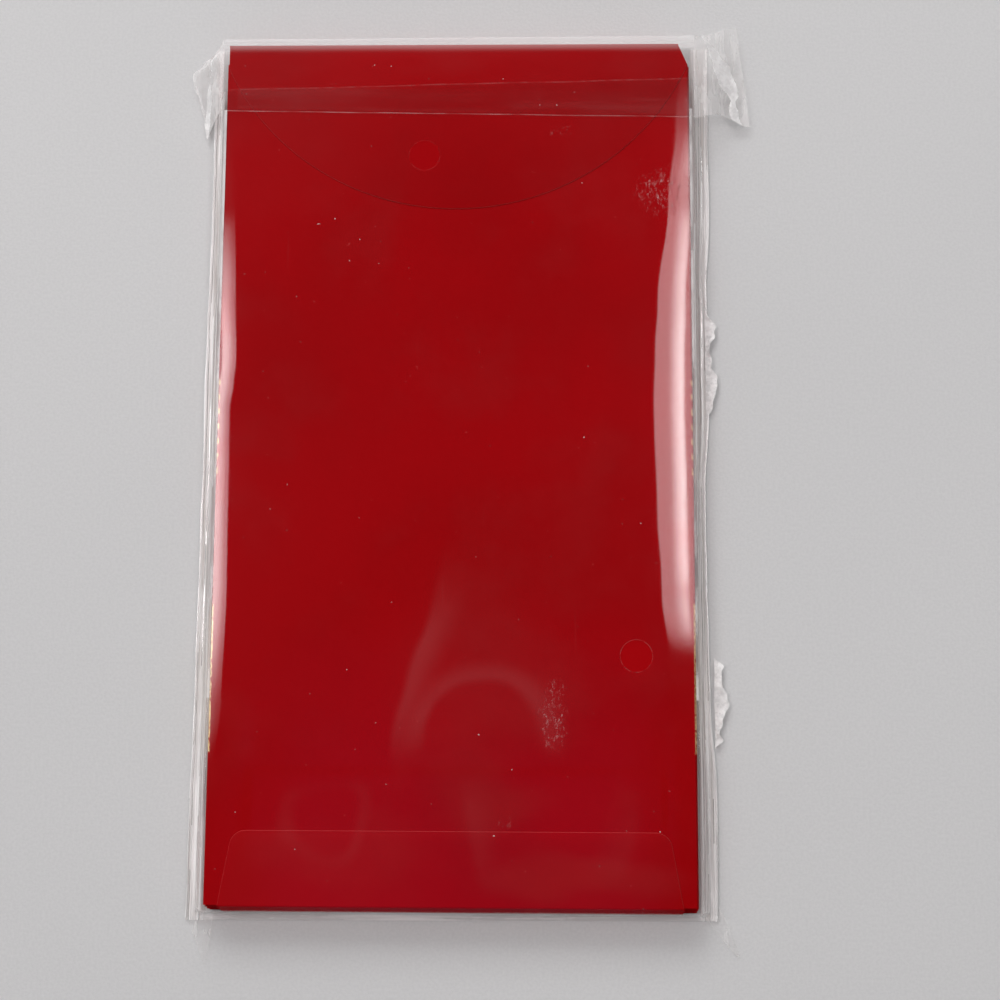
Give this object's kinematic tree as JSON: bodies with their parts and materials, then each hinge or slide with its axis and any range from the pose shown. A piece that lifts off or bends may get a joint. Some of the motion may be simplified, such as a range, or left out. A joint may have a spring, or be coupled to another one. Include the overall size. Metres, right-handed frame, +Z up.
{
  "type": "red envelope pack",
  "caption": "Stack of folded red paper gift envelopes with arc-edged top flaps, sealed in a clear film sleeve with a fold-over adhesive closing flap and punched vent holes.",
  "frame": {"origin": "middle of the sleeve's footprint, on the face that it lies on", "axes": "+Z up through the stack, from the envelopes' front faces to their backs; +Y along the pack towards the flaps; +X to the right, seen from above"},
  "size_m": [0.1002, 0.1685, 0.0056],
  "materials": {
    "red_paper": "satin",
    "paper_glue": "matte",
    "clear_film": "gloss",
    "clear_adhesive": "satin"
  },
  "bodies": {
    "sleeve": {"sleeve_front_film": "clear_film", "sleeve_back_film": "clear_film", "sleeve_left_side_film": "clear_film", "sleeve_right_side_film": "clear_film", "sleeve_bottom_film": "clear_film", "sleeve_left_seal": "clear_film", "sleeve_right_seal": "clear_film"},
    "top_web": {"sleeve_top_web": "clear_film"},
    "closing_flap": {"sleeve_closing_flap": "clear_film", "flap_adhesive_strip": "clear_adhesive"},
    "envelope_1": {"envelope_1_front_panel": "red_paper", "envelope_1_back_panel": "red_paper", "envelope_1_side_tab": "red_paper", "envelope_1_bottom_flap": "red_paper", "envelope_1_top_flap": "red_paper", "envelope_1_folded_edges": "red_paper", "envelope_1_side_seam_glue": "paper_glue", "envelope_1_bottom_seam_glue": "paper_glue"},
    "envelope_2": {"envelope_2_front_panel": "red_paper", "envelope_2_back_panel": "red_paper", "envelope_2_side_tab": "red_paper", "envelope_2_bottom_flap": "red_paper", "envelope_2_top_flap": "red_paper", "envelope_2_folded_edges": "red_paper", "envelope_2_side_seam_glue": "paper_glue", "envelope_2_bottom_seam_glue": "paper_glue"},
    "envelope_3": {"envelope_3_front_panel": "red_paper", "envelope_3_back_panel": "red_paper", "envelope_3_side_tab": "red_paper", "envelope_3_bottom_flap": "red_paper", "envelope_3_top_flap": "red_paper", "envelope_3_folded_edges": "red_paper", "envelope_3_side_seam_glue": "paper_glue", "envelope_3_bottom_seam_glue": "paper_glue"},
    "envelope_4": {"envelope_4_front_panel": "red_paper", "envelope_4_back_panel": "red_paper", "envelope_4_side_tab": "red_paper", "envelope_4_bottom_flap": "red_paper", "envelope_4_top_flap": "red_paper", "envelope_4_folded_edges": "red_paper", "envelope_4_side_seam_glue": "paper_glue", "envelope_4_bottom_seam_glue": "paper_glue"},
    "envelope_5": {"envelope_5_front_panel": "red_paper", "envelope_5_back_panel": "red_paper", "envelope_5_side_tab": "red_paper", "envelope_5_bottom_flap": "red_paper", "envelope_5_top_flap": "red_paper", "envelope_5_folded_edges": "red_paper", "envelope_5_side_seam_glue": "paper_glue", "envelope_5_bottom_seam_glue": "paper_glue"},
    "envelope_6": {"envelope_6_front_panel": "red_paper", "envelope_6_back_panel": "red_paper", "envelope_6_side_tab": "red_paper", "envelope_6_bottom_flap": "red_paper", "envelope_6_top_flap": "red_paper", "envelope_6_folded_edges": "red_paper", "envelope_6_side_seam_glue": "paper_glue", "envelope_6_bottom_seam_glue": "paper_glue"}
  },
  "joints": [
    {"name": "mouth_open", "type": "hinge", "parent": "sleeve", "child": "top_web", "pos_m": [0, 0.08422, 0.00006], "axis": [-1, 0, 0], "range_deg": [0, 90]},
    {"name": "flap_open", "type": "hinge", "parent": "top_web", "child": "closing_flap", "pos_m": [0, 0.08422, 0.00556], "axis": [-1, 0, 0], "range_deg": [0, 90]},
    {"name": "envelope_1_pull_out", "type": "slide", "parent": "sleeve", "child": "envelope_1", "axis": [0, 1, 0], "range_m": [0, 0.17], "deforming": ["sleeve_top_web"]},
    {"name": "envelope_2_pull_out", "type": "slide", "parent": "sleeve", "child": "envelope_2", "axis": [0, 1, 0], "range_m": [0, 0.17], "deforming": ["sleeve_top_web"]},
    {"name": "envelope_3_pull_out", "type": "slide", "parent": "sleeve", "child": "envelope_3", "axis": [0, 1, 0], "range_m": [0, 0.17], "deforming": ["sleeve_top_web"]},
    {"name": "envelope_4_pull_out", "type": "slide", "parent": "sleeve", "child": "envelope_4", "axis": [0, 1, 0], "range_m": [0, 0.17], "deforming": ["sleeve_top_web"]},
    {"name": "envelope_5_pull_out", "type": "slide", "parent": "sleeve", "child": "envelope_5", "axis": [0, 1, 0], "range_m": [0, 0.17], "deforming": ["sleeve_top_web"]},
    {"name": "envelope_6_pull_out", "type": "slide", "parent": "sleeve", "child": "envelope_6", "axis": [0, 1, 0], "range_m": [0, 0.17], "deforming": ["sleeve_top_web"]}
  ],
  "couplings": [
    {"joint": "flap_open", "follows": "mouth_open", "ratio": 1}
  ]
}
